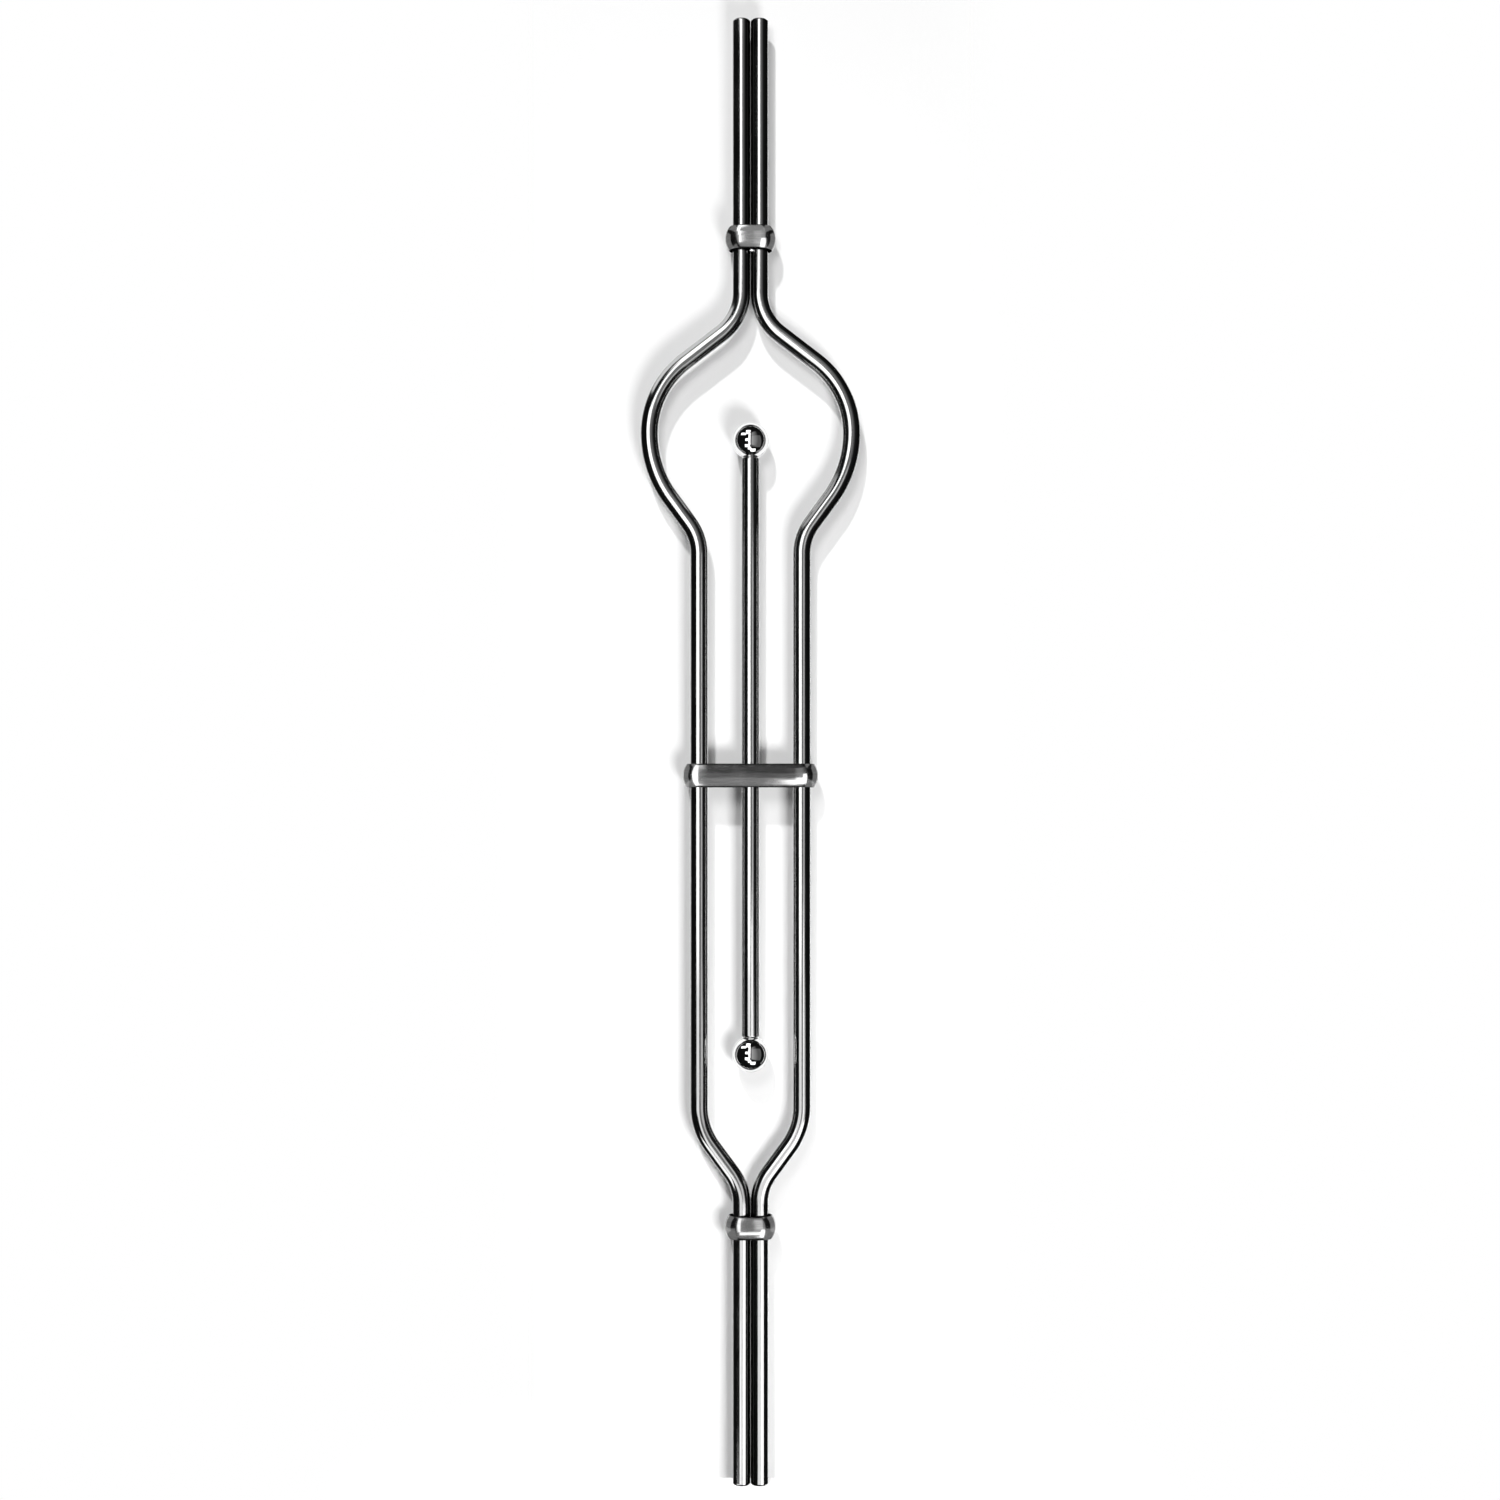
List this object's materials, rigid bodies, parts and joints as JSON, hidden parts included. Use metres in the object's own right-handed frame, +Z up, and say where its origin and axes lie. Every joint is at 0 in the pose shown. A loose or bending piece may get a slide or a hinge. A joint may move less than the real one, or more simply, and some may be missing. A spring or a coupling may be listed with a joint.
{
  "type": "iron stair baluster",
  "caption": "Basket stair baluster of round bar: a bent pair with a bulge near the top, a centre bar ended by balls, and wrapped collars.",
  "frame": {"origin": "middle of the bottom ends of the two bent bars, at the lowest point", "axes": "+Z up the bars; X across the width, from bar to bar; the front faces -Y and the collars' seams face +Y"},
  "size_m": [0.15, 0.025, 1],
  "materials": {
    "bar_steel": "polished bright along the bar",
    "collar_steel": "satin, brushed along the strip",
    "ball_polish": "mirror polish"
  },
  "bodies": {
    "root": {"left_bar": "bar_steel", "right_bar": "bar_steel", "centre_bar": "bar_steel", "top_ball": "ball_polish", "bottom_ball": "ball_polish", "top_collar": "collar_steel", "middle_collar": "collar_steel", "bottom_collar": "collar_steel"}
  },
  "joints": []
}
